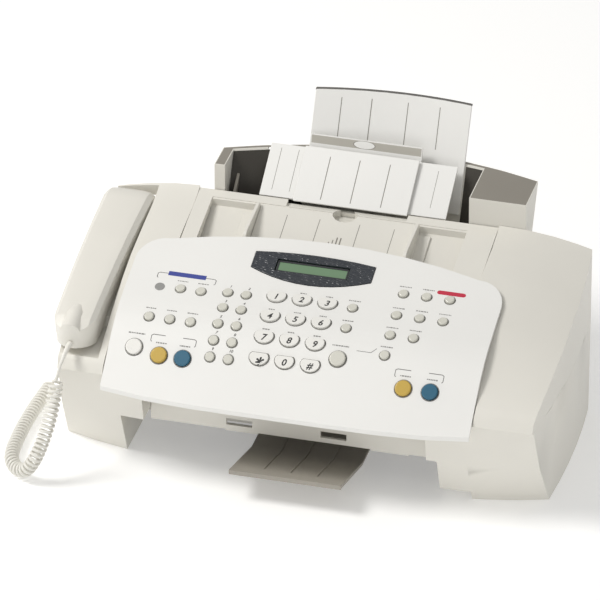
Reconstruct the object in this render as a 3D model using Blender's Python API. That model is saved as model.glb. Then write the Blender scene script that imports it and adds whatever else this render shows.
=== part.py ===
"""Inkjet fax machine with handset and curly cord.

All dimensions below are millimetres in a working frame: X to the right, Y to the back, Z up from the
table, with Y = 0 at the front foot corners. The root empty moves that frame so that the machine, without
its cord, stands centred on the origin. Solids are built in millimetres and scaled to metres at the end.
"""

import math

import bmesh
import bpy
from mathutils import Matrix, Vector

MM = 0.001
GAP = 0.35  # clearance between neighbouring fixed pieces

# Housing
SIDE_WIDEST = 208.0  # half width at the widest station
SIDE_WIDEST_Y = 66.0
SIDE_BOW = 8.0  # how much narrower the side is BOW_REACH from the widest station
SIDE_BOW_REACH = 112.0
SEAM_Z = 88.0  # seam between the base and the upper covers
REAR_Y = 150.0
CROWN = 11.0  # rise of the covers from their outer edge to the deck
CROWN_RUN = 76.0
DECK_X = (-132.0, 124.0)
WALL = 4.0

# Height of the covers' outer edge, from the nose to the rear
RIDGE = [
    (-44.6, 88.35), (-41.5, 95.0), (-34.0, 100.5), (-16.0, 108.0), (8.0, 116.5), (36.0, 125.0),
    (62.0, 133.0), (100.0, 140.0), (125.0, 144.0), (143.0, 148.5), (REAR_Y, 152.0),
]

# Control panel: lower slope, arc and upper slope, seen from the side
PANEL_CX = -5.5
PANEL_HALF = 155.5
PANEL_BEND = (-7.3, 125.6)  # where the two slopes would meet
PANEL_TANGENT = 25.0
PANEL_LOW = math.radians(42.0)
PANEL_HIGH = math.radians(17.2)
PANEL_THICK = 3.0
PANEL_TOP_Y = 95.0
PANEL_TOP_RADIUS = 505.0
PANEL_CORNER = 25.0
PANEL_CORNER_DROP = 42.0  # from the arch's top down to the corners' centres
PANEL_BOTTOM_Y = -58.5
PANEL_BOTTOM_BOW = 4.3

# Keys: (x, s) centres, s measured along the panel from the upper end of the bend
KEY_RISE = 1.9
ROUND_KEY = 4.0
START_KEY = 6.8
PAD_COLUMNS = (-34.6, -13.1, 8.6)
PAD_ROWS = (15.4, -6.2, -27.0, -46.4)
PAD_NAMES = (("1", "2", "3"), ("4", "5", "6"), ("7", "8", "9"), ("star", "0", "hash"))
PAD_HALF = (8.0, 5.2)

# Document deck
DECK_LINE = (83.0, 146.5, 0.22)  # y, z and slope of the outer surface
PATH_LINE = (140.0, 158.2, 0.345)  # the same for the sunken paper path
PATH_X = (-119.0, 99.4)
GUIDE_FACES = (-77.0, 56.4)
RECESS = 6.0  # depth of the recesses beside the paper path, which the guides slide in
FOOT = 13.5  # reach of a guide's foot from its face

# Hinges and shafts: (y, z)
SCAN_HINGE = (149.8, 161.8)
PANEL_HINGE = (-45.0, 84.0)
SUPPORT_HINGE = (153.5, 160.0)
LEAF_HINGE = (192.4, 190.9)
ROD = (70.0, 56.0)
EXIT_SHAFT = (2.0, 52.0)
PICK_SHAFT = (140.0, 117.0)
DOC_SHAFT = (67.0, 127.6)

# Rear paper feeder
FEEDER_X = (-120.0, 147.0)
BIN_X = (-111.0, 98.3)
FEEDER_TOP = 185.0
REAR_BOW = (30.0, 212.0, 0.00147)  # x of the furthest point, its y, curvature
LEAN = math.tan(math.radians(27.0))
PAPER_SUPPORT_X = (-50.6, 82.0)
PAPER_SUPPORT_TOP = 230.4

# Output
BAR_X = (-129.6, 109.6)
OPENING_X = (-150.0, 118.0)
TRAY_X = (-48.5, 46.5)

# Handset, in its own tilted frame: s along it, t out of its back
HANDSET_X = (-210.5, -168.5)
HANDSET_MID = (50.0, 142.4)
HANDSET_TILT = math.radians(10.7)
HANDSET_ENDS = (-91.5, 95.5)
MOUTH_END = 21.0  # length of the rounded mouth end
EAR_END = 8.0  # length of the blunt ear end's rounding
HANDSET_ARCH = 5.0  # rise of its middle over its ends
HANDSET_TAPER = 0.18  # share of its width that it loses towards the mouth end
TAPER_SHIFT = 1.8  # how far the mouth end's middle stands to the left of the ear end's

# Cord
LEAD_RADIUS = 2.0
COIL_RADIUS = 6.3
LEAD_ROUTE = [(-191.0, -37.6, 109.5), (-191.8, -48.0, 107.5), (-193.8, -57.0, 99.5), (-195.5, -61.4, 91.0)]
COIL_ROUTE = [
    (-195.8, -62.2, 88.8), (-196.5, -67.0, 76.0), (-198.0, -74.5, 60.0), (-202.0, -81.5, 42.0),
    (-208.0, -85.5, 25.0), (-216.0, -84.5, 12.0), (-226.0, -77.5, 6.8), (-234.5, -65.0, 6.7),
    (-238.5, -45.0, 6.7), (-240.0, -10.0, 6.7), (-239.0, 25.0, 6.7), (-236.5, 56.0, 6.7),
]
BASE_LEAD_ROUTE = [
    (-236.3, 58.6, 6.6), (-235.0, 70.0, 6.6), (-230.0, 84.0, 9.0), (-222.0, 94.5, 15.0), (-216.6, 98.3, 19.0),
]
PLUG_CENTRE = (-209.0, 100.0, 20.0)


# ---------------------------------------------------------------- shapes

def interpolate(points, x):
    """Straight-line reading of a list of (x, value) points."""
    if x <= points[0][0]:
        return points[0][1]
    for (x0, v0), (x1, v1) in zip(points, points[1:]):
        if x <= x1:
            return v0 + (v1 - v0) * (x - x0) / (x1 - x0)
    return points[-1][1]


def shape_from(verts, faces):
    bm = bmesh.new()
    made = [bm.verts.new(v) for v in verts]
    for face in faces:
        bm.faces.new([made[i] for i in face])
    bmesh.ops.recalc_face_normals(bm, faces=bm.faces)
    return bm


def loft(sections):
    """A closed solid through sections that have the same number of points."""
    n = len(sections[0])
    verts = [p for section in sections for p in section]
    faces = [list(range(n)), list(range(n * (len(sections) - 1), n * len(sections)))]
    for k in range(len(sections) - 1):
        for i in range(n):
            j = (i + 1) % n
            faces.append([k * n + i, k * n + j, (k + 1) * n + j, (k + 1) * n + i])
    return shape_from(verts, faces)


def side_prism(outline, x0, x1):
    """A (y, z) outline extruded from x0 to x1."""
    return loft([[(x, y, z) for y, z in outline] for x in (x0, x1)])


def plan_prism(outline, z0, z1):
    """An (x, y) outline extruded from z0 to z1."""
    return loft([[(x, y, z) for x, y in outline] for z in (z0, z1)])


def box(x0, x1, y0, y1, z0, z1):
    return plan_prism([(x0, y0), (x1, y0), (x1, y1), (x0, y1)], z0, z1)


def circle(radius, count, centre=(0.0, 0.0)):
    turns = [2 * math.pi * (i + 0.5) / count for i in range(count)]
    return [(centre[0] + radius * math.cos(a), centre[1] + radius * math.sin(a)) for a in turns]


def turned_x(steps, y, z, count=16):
    """Discs on an axis along X: steps are (x, radius) pairs, in order."""
    return loft([[(x, y + a, z + b) for a, b in circle(radius, count)] for x, radius in steps])


def turned_local(steps, count, place):
    """Discs on a local Z axis, (height, radius) pairs, moved by the matrix place."""
    bm = loft([[(a, b, height) for a, b in circle(radius, count)] for height, radius in steps])
    bm.transform(place)
    return bm


def heightfield(xs_of, ys, top, floor):
    """A block with a grid top: xs_of(y) lists the x stations of a row, top(x, y) is the height."""
    sections = []
    for y in ys:
        xs = xs_of(y)
        row = [(x, y, top(x, y)) for x in xs]
        sections.append(row + [(xs[-1], y, floor), (xs[0], y, floor)])
    return loft(sections)


def as_object(bm, name):
    mesh = bpy.data.meshes.new(name)
    bm.to_mesh(mesh)
    obj = bpy.data.objects.new(name, mesh)
    bpy.context.scene.collection.objects.link(obj)
    return obj


def combine(bm, tools, operation):
    """Boolean of a shape with each tool in turn."""
    for tool in tools:
        body = as_object(bm, "body")
        other = as_object(tool, "tool")
        modifier = body.modifiers.new("cut", "BOOLEAN")
        modifier.operation = operation
        modifier.solver = "EXACT"
        modifier.object = other
        graph = bpy.context.evaluated_depsgraph_get()
        result = bpy.data.meshes.new_from_object(body.evaluated_get(graph))
        bm = bmesh.new()
        bm.from_mesh(result)
        bpy.data.meshes.remove(result)
        for used in (body, other):
            mesh = used.data
            bpy.data.objects.remove(used)
            bpy.data.meshes.remove(mesh)
    return bm


def cut(bm, *tools):
    return combine(bm, tools, "DIFFERENCE")


def add(bm, *tools):
    return combine(bm, tools, "UNION")


def keep(bm, tool):
    return combine(bm, [tool], "INTERSECT")


def tidy(bm):
    """Joins doubled points and drops the slivers that a Boolean can leave."""
    bmesh.ops.remove_doubles(bm, verts=bm.verts, dist=0.005)
    bmesh.ops.dissolve_degenerate(bm, dist=0.005, edges=bm.edges)
    bmesh.ops.dissolve_limit(bm, angle_limit=math.radians(0.05), verts=bm.verts, edges=bm.edges)
    bmesh.ops.triangulate(bm, faces=bm.faces)


def paint(name, colour, roughness, metallic=0.0):
    material = bpy.data.materials.new(name)
    material.use_nodes = True
    shader = material.node_tree.nodes["Principled BSDF"]
    shader.inputs["Base Color"].default_value = (*colour, 1.0)
    shader.inputs["Roughness"].default_value = roughness
    shader.inputs["Metallic"].default_value = metallic
    return material


OFF_WHITE = (0.80, 0.78, 0.72)
PANEL_WHITE = (0.86, 0.85, 0.81)
KEY_IVORY = (0.74, 0.73, 0.67)
GREY = (0.33, 0.32, 0.29)
DARK = (0.03, 0.03, 0.035)
STEEL = (0.55, 0.56, 0.58)

BODIES = {}


def body_empty(name, pivot, parent=None):
    """An empty on a joint's axis, which carries the pieces that move with it."""
    empty = bpy.data.objects.new("body_" + name, None)
    bpy.context.scene.collection.objects.link(empty)
    BODIES[name] = (empty, Vector(pivot))
    start = Vector((0.0, 0.0, 0.0))
    if parent:
        holder, start = BODIES[parent]
        empty.parent = holder
    empty.location = (Vector(pivot) - start) * MM
    return empty


def add_node(name, bm, body, colour, roughness=0.45, metallic=0.0, pivot=None):
    """Makes the named object; pivot is where its origin goes, on its own joint axis when it moves."""
    holder, start = BODIES[body]
    pivot = start if pivot is None else Vector(pivot)
    tidy(bm)
    bm.transform(Matrix.Scale(MM, 4) @ Matrix.Translation(-pivot))
    obj = as_object(bm, name)
    obj.data.materials.append(paint(name, colour, roughness, metallic))
    obj.parent = holder
    obj.location = (pivot - start) * MM
    obj.data.set_sharp_from_angle(angle=math.radians(35.0))
    return obj


# ---------------------------------------------------------------- surfaces

def side_x(y):
    return SIDE_WIDEST - SIDE_BOW * ((y - SIDE_WIDEST_Y) / SIDE_BOW_REACH) ** 2


def cover_top(x, y):
    rise = CROWN * min(max((y + 30.0) / 60.0, 0.0), 1.0)
    run = min(max((side_x(y) - abs(x)) / CROWN_RUN, 0.0), 1.0)
    return interpolate(RIDGE, y) + rise * (1.0 - (1.0 - run) ** 2)


def on_line(line, y):
    y0, z0, slope = line
    return z0 + (y - y0) * slope


def rear_rim(x):
    x0, y0, curve = REAR_BOW
    return y0 - curve * (x - x0) ** 2


PANEL_BEND_RADIUS = PANEL_TANGENT / math.tan((PANEL_LOW - PANEL_HIGH) / 2)
BEND_LENGTH = PANEL_BEND_RADIUS * (PANEL_LOW - PANEL_HIGH)
BEND_TOP = Vector((0.0, PANEL_BEND[0] + PANEL_TANGENT * math.cos(PANEL_HIGH),
                   PANEL_BEND[1] + PANEL_TANGENT * math.sin(PANEL_HIGH)))
BEND_CENTRE = BEND_TOP + PANEL_BEND_RADIUS * Vector((0.0, math.sin(PANEL_HIGH), -math.cos(PANEL_HIGH)))


def panel_point(x, s, t=0.0):
    """The point s along the panel's profile and t above its face, and the slope there."""
    if s >= 0.0:
        slope = PANEL_HIGH
        point = BEND_TOP + s * Vector((0.0, math.cos(slope), math.sin(slope)))
    else:
        slope = PANEL_HIGH + min(-s, BEND_LENGTH) / PANEL_BEND_RADIUS
        point = BEND_CENTRE + PANEL_BEND_RADIUS * Vector((0.0, -math.sin(slope), math.cos(slope)))
        rest = min(s + BEND_LENGTH, 0.0)
        point = point + rest * Vector((0.0, math.cos(slope), math.sin(slope)))
    point = point + t * Vector((0.0, -math.sin(slope), math.cos(slope)))
    return Vector((x, point.y, point.z)), slope


def panel_place(x, s):
    """Matrix from a flat frame (x, along the slope, out of the face) to the panel's face."""
    point, slope = panel_point(x, s)
    return Matrix.Translation(point) @ Matrix.Rotation(slope, 4, "X")


def panel_sheet(t_low, t_high, x0, x1, s0=-115.0, s1=100.0):
    """A sheet that follows the panel's profile, between two heights above its face."""
    bend = [-BEND_LENGTH * (1.0 - i / 7.0) for i in range(8)]
    stations = [s0] + [s for s in bend if s0 < s < s1] + [s1]
    upper = [panel_point(0.0, s, t_high)[0] for s in stations]
    lower = [panel_point(0.0, s, t_low)[0] for s in reversed(stations)]
    return side_prism([(p.y, p.z) for p in upper + lower], x0, x1)


def panel_outline(margin=0.0):
    """The panel seen from above: bowed lower edge, arched top edge and round top corners."""
    half = PANEL_HALF + margin
    points = []
    for i in range(9):
        d = -half + 2 * half * i / 8
        points.append((PANEL_CX + d, PANEL_BOTTOM_Y - margin + PANEL_BOTTOM_BOW * (d / half) ** 4))
    reach = half - PANEL_CORNER
    centre_y = PANEL_TOP_Y - PANEL_CORNER_DROP + margin
    points += corner_arc(PANEL_CX + reach, centre_y, 0.0)
    for i in range(9):
        d = reach - 2 * reach * i / 8
        drop = PANEL_TOP_RADIUS - math.sqrt(PANEL_TOP_RADIUS ** 2 - d ** 2)
        points.append((PANEL_CX + d, PANEL_TOP_Y + margin - drop))
    points += corner_arc(PANEL_CX - reach, centre_y, 105.0)
    return points


def corner_arc(x, y, start):
    """Points over 75 degrees of a panel corner, from the start angle on."""
    turns = [math.radians(start + 75.0 * i / 6) for i in range(7)]
    return [(x + PANEL_CORNER * math.cos(a), y + PANEL_CORNER * math.sin(a)) for a in turns]


def panel_relief():
    """The space that the panel needs above the pieces it lies over."""
    sheet = panel_sheet(-PANEL_THICK - 0.9, 60.0, -190.0, 180.0)
    return keep(sheet, plan_prism(panel_outline(0.9), 40.0, 260.0))


def key_relief():
    """The deeper space inside the panel's edge that its keys press into."""
    sheet = panel_sheet(-8.6, -1.0, -190.0, 180.0, -115.0, 46.0)
    return keep(sheet, plan_prism(panel_outline(-6.0), 40.0, 260.0))


def handset_point(s, t):
    c = math.cos(HANDSET_TILT)
    k = math.sin(HANDSET_TILT)
    return (HANDSET_MID[0] + s * c - t * k, HANDSET_MID[1] + s * k + t * c)


def handset_prism(outline, x0, x1):
    return side_prism([handset_point(s, t) for s, t in outline], x0, x1)


# ---------------------------------------------------------------- housing

def base_outline(z, centre_y, corner_y, rear_y):
    points = []
    for f in (-1.0, -0.87, -0.74, -0.6, 0.0, 0.6, 0.74, 0.87, 1.0):
        y = centre_y + (corner_y - centre_y) * max((abs(f) - 0.48) / 0.52, 0.0) ** 2
        points.append((f * side_x(corner_y), y, z))
    stations = [corner_y + (rear_y - corner_y) * k / 5 for k in range(1, 6)]
    points += [(side_x(y), y, z) for y in stations]
    points += [(-side_x(y), y, z) for y in reversed(stations)]
    return points


def make_base():
    top = SEAM_Z - GAP
    bm = loft([base_outline(0.0, -19.0, 0.0, 146.0), base_outline(44.0, -36.0, -25.0, 148.0),
               base_outline(top, -44.6, -41.0, REAR_Y)])
    bar = (BAR_X[0] - GAP, BAR_X[1] + GAP)
    leg = [(-90, -5), (60, -5), (60, 9), (-20, 9), (-33, 43.5), (-90, 43.5)]
    sub_leg = side_prism(leg, OPENING_X[1] - 1, 144.0)
    return cut(
        bm,
        box(OPENING_X[0], OPENING_X[1], -90, 50, -5, 44),
        box(TRAY_X[0] - 2, TRAY_X[1] + 2, 40, 60, 5, 17),
        box(bar[0], bar[1], -90, -10.3, 30, 95),
        sub_leg,
        box(-200, 200, 53, 143, 5, 95),
        box(-197, -154, 8, 56, 5, 95),
        box(148, 197, 8, 56, 5, 95),
        box(-146, 140, -12, 56, 39.5, 95),
        box(-215, -198, 93.5, 106.5, 14, 26),
        box(150, 178, 140, 160, 20, 42),
        box(-181, -149, 140, 160, 20, 34),
    )


def cover_stations():
    ys = [y for y, _ in RIDGE]
    return ys[:6] + [49.0] + ys[6:7] + [81.0] + ys[7:]


def make_right_cover():
    inner = DECK_X[1] + GAP

    def stations(y):
        outer = side_x(y)
        return [inner + (outer - inner) * f for f in (0.0, 0.3, 0.6, 0.85, 1.0)]

    bm = heightfield(stations, cover_stations(), cover_top, SEAM_Z)
    hollow = [(16, 80)] + [(y, interpolate(RIDGE, y) - 3.5) for y in (16, 62, 146)] + [(146, 80)]
    return cut(bm, side_prism(hollow, inner + WALL, 197), panel_relief(), key_relief())


def cradle_space():
    """The handset's lower outline with clearance, open upwards and to the left."""
    grip = [(-93.5, 60), (-93.5, -29.3), (-52, -29.3), (-46, -23.3)]
    ear = [(40, -23.3), (46, -31.3), (99.2, -31.3), (99.2, 60)]
    return handset_prism(grip + ear, -230.0, HANDSET_X[1] + 1.2)


def make_left_cover():
    inner = DECK_X[0] - GAP

    def stations(y):
        outer = -side_x(y)
        return [outer + (inner - outer) * f for f in (0.0, 0.15, 0.4, 0.7, 1.0)]

    bm = heightfield(stations, cover_stations(), cover_top, SEAM_Z)
    hollow = [(16, 80)] + [(y, interpolate(RIDGE, y) - 3.5) for y in (16, 62, 146)] + [(146, 80)]
    bm = cut(bm, side_prism(hollow, -163.5, inner - WALL), cradle_space(), panel_relief())
    return cut(bm, key_relief(), hook_well(4.4, -60.0))


def make_bar():
    """Front bar over the paper exit, with two slots and two short ledges."""
    bm = box(BAR_X[0], BAR_X[1], -14, -11, 33, 86)
    slots = [box(x - 11, x + 11, -20, -5, 37.5, 43.5) for x in (-54.0, 26.0)]
    ledges = [box(x0, x1, -13.5, -4.5, 31.4, 33.6) for x0, x1 in ((-66.0, -38.0), (58.0, 90.0))]
    return add(cut(bm, *slots), *ledges)


def feeder_section(x, front, floor, top, inset):
    rear = rear_rim(x) - inset
    return [(x, front, floor), (x, front, top), (x, rear, top), (x, rear - (top - floor) * LEAN, floor)]


def make_feeder():
    front = REAR_Y + GAP
    x0, x1 = FEEDER_X
    stations = [x0 + (x1 - x0) * k / 8 for k in range(9)]
    sections = []
    for x in stations:
        floor = FEEDER_TOP - (rear_rim(x) - front - 3.0) / LEAN
        sections.append(feeder_section(x, front, max(floor, 92.0), FEEDER_TOP, 0.0))
    back_wall = box(DECK_X[0] + 1.0, x0 + 20.0, front, front + 3.0, SEAM_Z + 0.5, 140.0)
    low_wall = box(x0 + 19.0, DECK_X[1] + 1.5, front, front + 3.0, SEAM_Z + 0.5, 140.0)
    bm = add(loft(sections), back_wall, low_wall)
    b0, b1 = BIN_X
    inner = [b0 + (b1 - b0) * k / 6 for k in range(7)]
    space = []
    for x in inner:
        rear = rear_rim(x) - 4.5
        low = front + 3.2
        deep = FEEDER_TOP - (rear - low - 0.6) / LEAN
        above = rear + (250.0 - FEEDER_TOP) * LEAN
        space.append([(x, low, deep), (x, low, 250.0), (x, above, 250.0), (x, low + 0.6, deep)])
    front_gap = box(b0, b1, 140, front + 6, 155, 230)
    roller_window = box(-62, 52, 140, front + 6, 101, 134)
    rest = box(-84, -66, 180, 200, 180.0, 190)
    return cut(bm, loft(space), front_gap, roller_window, rest)


# ---------------------------------------------------------------- scan unit and panel

def make_deck():
    rear = REAR_Y - 0.6
    front = [(60, on_line(DECK_LINE, 60)), (60, on_line(PATH_LINE, 60))]
    front += [(57, 129.0), (-8, 106.0), (-30, 94.5)]
    under = [(-30, 91.3), (-8, 102.8), (57, 120.5), (60, 121.4), (rear, 141.0)]
    bm = side_prism([(rear, on_line(DECK_LINE, rear))] + front + under, *DECK_X)
    path = [(60, on_line(PATH_LINE, 60)), (141, on_line(PATH_LINE, 141))]
    path += [(141, 190), (20, 190), (20, 170)]
    notch = box(-56.0, 47.0, 141.5, 160, 157.5, 190)
    thumb = plan_prism([(-5 + 11 * math.cos(a), 142 + 9 * math.sin(a)) for a in
                        [2 * math.pi * i / 14 for i in range(14)]], 151, 190)
    y, z = DOC_SHAFT
    roller = box(-112, 92, y - 8, y + 8, z - 9, 150)
    sensor = box(-113, 93, 35, 54, 100, 140)
    lug = [(-28, 94.0), (-28, 92.5), (-42, 82.0), (-47.3, 82.0), (-47.3, 84.6), (-44, 87.4)]
    lugs = [side_prism(lug, x, x + 8.0) for x in (-104.0, 84.0)]
    bm = cut(bm, side_prism(path, *PATH_X), *guide_recesses(), notch, thumb, roller, sensor)
    return add(cut(bm, panel_relief(), key_relief()), *lugs)


def over_floor(y0, y1, low, high):
    """A (y, z) strip between two heights over the recess floor."""
    floor = [(y, on_line(PATH_LINE, y) - RECESS) for y in (y0, y1)]
    return [(y, z + low) for y, z in floor] + [(y, z + high) for y, z in reversed(floor)]


def guide_recesses():
    """The two recesses beside the paper path, and the slots for the guides' feet under the deck's sides."""
    spaces = []
    for inner, wall, rim in ((GUIDE_FACES[0] + GAP, PATH_X[0], DECK_X[0] + 1.2),
                             (GUIDE_FACES[1] - GAP, PATH_X[1], DECK_X[1] - 2.0)):
        spaces.append(side_prism(over_floor(80.0, 139.5, 0.0, 60.0), *sorted((inner, wall))))
        toward = 1.0 if inner > wall else -1.0
        spaces.append(side_prism(over_floor(85.8, 136.0, -0.1, 2.6), *sorted((wall + toward, rim))))
    return spaces


def guide(face, outward):
    """A document guide: an upright fin on a thin foot that slides under the deck's side."""
    top = [(138.4, 161.2), (136.0, 162.0), (97.0, 158.4), (92.6, 155.4), (90.0, 150.0), (86.5, 146.5)]
    fin = over_floor(86.5, 138.4, 0.3, 0.3)[:2] + top
    foot = over_floor(86.5, 135.2, 0.3, 1.9)
    fin_x = sorted((face, face + outward * 3.0))
    foot_x = sorted((face + outward * 1.0, face + outward * FOOT))
    return add(side_prism(fin, *fin_x), side_prism(foot, *foot_x))


def make_document_support():
    """The wide plate behind the deck, with the raised bar at its upper edge."""
    low = (152.0, 160.6)
    high = (193.0, 187.6)
    plate = side_prism([low, high, (high[0] + 1.2, high[1] - 1.8), (low[0] + 1.2, low[1] - 1.8)], -82.0, 78.0)
    raised = [(192.6, 186.6), (194.6, 191.0), (197.2, 198.6), (199.2, 198.0), (196.6, 189.4), (194.6, 186.0)]
    return add(plate, side_prism(raised, -49.0, 46.5))


def make_leaf():
    """The fold-out leaf that lies on the support."""
    low = (148.6, 160.4)
    high = (191.6, 189.2)
    slope = math.atan2(high[1] - low[1], high[0] - low[0])
    out = (-math.sin(slope) * 1.6, math.cos(slope) * 1.6)
    upper = [(y + out[0], z + out[1]) for y, z in (high, low)]
    return side_prism([low, high] + upper, -52.0, 46.0)


def bezel_outline(grow=0.0):
    """LCD bezel seen square on: straight ends, a shallow arched top and a deep bowed bottom."""
    half = 51.0 + grow
    points = []
    for i in range(11):
        d = -1.0 + 2.0 * i / 10
        points.append((-12.7 + half * d, 33.0 + 12.0 * abs(d) ** 2.0 - grow))
    for i in range(7):
        d = 1.0 - 2.0 * i / 6
        points.append((-12.7 + half * d, 66.0 - 3.5 * d * d + grow))
    return points


def flat_prism(outline, t0, t1):
    """An (x, s) outline on the panel's upper slope, between two heights above its face."""
    bm = plan_prism(outline, t0, t1)
    bm.transform(panel_place(0.0, 0.0))
    return bm


LCD_WINDOW = [(-43.7, 44.3), (18.1, 44.3), (18.1, 57.4), (-43.7, 57.4)]


def half_moon(grow=0.0):
    """A keypad key seen square on: a flat upper edge over a round lower edge."""
    half, tall = PAD_HALF[0] + grow, PAD_HALF[1] + grow
    turns = [math.pi + math.pi * i / 8 for i in range(9)]
    points = [(half * math.cos(a), tall * (0.35 + 1.35 * math.sin(a))) for a in turns]
    shoulder = tall * 0.75
    return points + [(half - 0.6, shoulder), (half - 2.2, tall), (-half + 2.2, tall), (-half + 0.6, shoulder)]


def round_cap(x, s, radius, t0, t1, count=12):
    bevel = min(0.7, radius * 0.15)
    steps = [(t0, radius), (t1 - bevel, radius), (t1, radius - bevel)]
    return turned_local(steps, count, panel_place(x, s))


def round_hole(x, s, radius, count=12):
    return turned_local([(-8.0, radius + 0.4), (8.0, radius + 0.4)], count, panel_place(x, s))


def pad_shape(x, s, grow, t0, t1):
    bm = plan_prism(half_moon(grow), t0, t1)
    bm.transform(panel_place(x, s))
    return bm


def key_web(outline):
    """The moulded web under the panel that ties a group of round keys together; outline is in (x, s)."""
    xs = [x for x, _ in outline]
    plan = [(x, panel_point(x, s, -5.4)[0].y) for x, s in outline]
    return keep(panel_sheet(-6.0, -4.9, min(xs) - 1, max(xs) + 1), plan_prism(plan, 40.0, 260.0))


def web_box(spots, margin=5.5):
    xs = [x for x, _ in spots]
    ss = [s for _, s in spots]
    low = (min(xs) - margin, min(ss) - margin)
    high = (max(xs) + margin, max(ss) + margin)
    return [low, (high[0], low[1]), high, (low[0], high[1])]


GROUPS = {
    "left_key_group": [(-114.9, 10.6), (-97.4, 10.6), (-133.2, -22.0), (-115.6, -22.0), (-98.0, -22.0)],
    "one_touch_key_group": [(x, s) for x in (-75.2, -59.6) for s in (13.4, -3.2, -19.8, -35.4, -50.2)],
    "function_key_group": [(30.2, 15.3), (30.2, -7.0)]
    + [(x, s) for s in (38.0, 14.0) for x in (67.6, 87.2, 106.8)]
    + [(67.6, -7.8), (87.2, -7.8), (67.6, -27.8)],
}
WEBS = {
    "left_key_group": web_box(GROUPS["left_key_group"]),
    "one_touch_key_group": web_box(GROUPS["one_touch_key_group"]),
    "function_key_group": [
        (24.7, -12.5), (35.7, -12.5), (35.7, 8.5), (62.1, 8.5), (62.1, -33.3), (92.7, -33.3),
        (92.7, -13.3), (112.3, 8.5), (112.3, 43.5), (62.1, 43.5), (62.1, 20.8), (24.7, 20.8),
    ],
}
SINGLES = {
    "scan_key": (-139.6, -50.5, START_KEY),
    "copy_black_key": (-117.6, -54.8, START_KEY),
    "copy_colour_key": (-97.6, -54.8, START_KEY),
    "redial_key": (30.0, -36.6, START_KEY),
    "fax_black_key": (88.6, -54.0, START_KEY),
    "fax_colour_key": (111.0, -54.0, START_KEY),
}
SINGLE_COLOURS = {
    "scan_key": KEY_IVORY,
    "copy_black_key": (0.62, 0.42, 0.08),
    "copy_colour_key": (0.02, 0.10, 0.17),
    "redial_key": KEY_IVORY,
    "fax_black_key": (0.62, 0.42, 0.08),
    "fax_colour_key": (0.02, 0.10, 0.17),
}


def make_panel():
    bm = keep(panel_sheet(-PANEL_THICK, 0.0, -190.0, 180.0), plan_prism(panel_outline(), 40.0, 260.0))
    holes = [round_hole(x, s, ROUND_KEY) for spots in GROUPS.values() for x, s in spots]
    holes += [round_hole(x, s, radius, 16) for x, s, radius in SINGLES.values()]
    holes += [pad_shape(x, s, 0.4, -8.0, 8.0) for s in PAD_ROWS for x in PAD_COLUMNS]
    holes.append(flat_prism(bezel_outline(0.35), -8.0, 8.0))
    return cut(bm, *holes)


def make_bezel():
    bm = flat_prism(bezel_outline(), -PANEL_THICK, 0.8)
    return cut(bm, flat_prism(LCD_WINDOW, -10.0, 10.0))


def make_lcd():
    x0, x1 = LCD_WINDOW[0][0], LCD_WINDOW[1][0]
    s0, s1 = LCD_WINDOW[0][1], LCD_WINDOW[2][1]
    glass = [(x0 + GAP, s0 + GAP), (x1 - GAP, s0 + GAP), (x1 - GAP, s1 - GAP), (x0 + GAP, s1 - GAP)]
    module = [(x0 - 6, s0 - 5), (x1 + 6, s0 - 5), (x1 + 6, s1 + 4), (x0 - 6, s1 + 4)]
    return add(flat_prism(glass, -4.5, -0.8), flat_prism(module, -7.0, -3.4))


def make_key_nodes():
    """Every key presses in along its own normal to the panel."""
    for name, spots in GROUPS.items():
        bm = key_web(WEBS[name])
        bm = add(bm, *[round_cap(x, s, ROUND_KEY, -5.5, KEY_RISE) for x, s in spots])
        middle = panel_point(spots[0][0], (min(s for _, s in spots) + max(s for _, s in spots)) / 2)[0]
        body_empty(name, middle, "control_panel")
        add_node(name, bm, name, KEY_IVORY, 0.4)
    for name, (x, s, radius) in SINGLES.items():
        bm = round_cap(x, s, radius, -4.0, KEY_RISE + 0.3, 16)
        flange = turned_local([(-5.2, radius + 1.2), (-3.9, radius + 1.2)], 16, panel_place(x, s))
        body_empty(name, panel_point(x, s)[0], "control_panel")
        add_node(name, add(bm, flange), name, SINGLE_COLOURS[name], 0.35)
    for s, names in zip(PAD_ROWS, PAD_NAMES):
        for x, label in zip(PAD_COLUMNS, names):
            name = "digit_key_" + label
            bm = add(pad_shape(x, s, 0.0, -4.2, KEY_RISE), pad_shape(x, s, 1.1, -5.2, -3.9))
            body_empty(name, panel_point(x, s)[0], "control_panel")
            add_node(name, bm, name, KEY_IVORY, 0.4)


# ---------------------------------------------------------------- output, feeder, print engine

def make_tray():
    """Output tray: flat at the back, rising to a lipped front edge, with three grooves."""
    top = [(60, 8.0), (4, 8.0), (-66, 28.2), (-67.6, 28.2), (-67.6, 24.2), (-66, 24.6), (3, 5.4), (60, 5.4)]
    bm = side_prism(top, *TRAY_X)
    grooves = []
    for x in (-22.0, 0.5, 23.0):
        groove = [(50, 7.2), (4.2, 7.2), (-52, 23.4), (-52, 40), (50, 40)]
        grooves.append(side_prism(groove, x - 0.7, x + 0.7))
    return cut(bm, *grooves)


def make_paper_support():
    x0, x1 = PAPER_SUPPORT_X
    sections = []
    for k in range(9):
        x = x0 + (x1 - x0) * k / 8
        back = rear_rim(x) - 5.0
        section = []
        front = back - 2.6
        for y, z in ((back, PAPER_SUPPORT_TOP), (back, 148.0), (front, 148.0), (front, PAPER_SUPPORT_TOP)):
            section.append((x, y + (z - FEEDER_TOP) * LEAN, z))
        sections.append(section)
    return loft(sections)


def make_feeder_guide():
    outline = [(155.5, 140.0), (155.5, 156.0), (170.5, 167.3), (169.5, 165.6)]
    return side_prism(outline, -106.0, -103.6)


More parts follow.
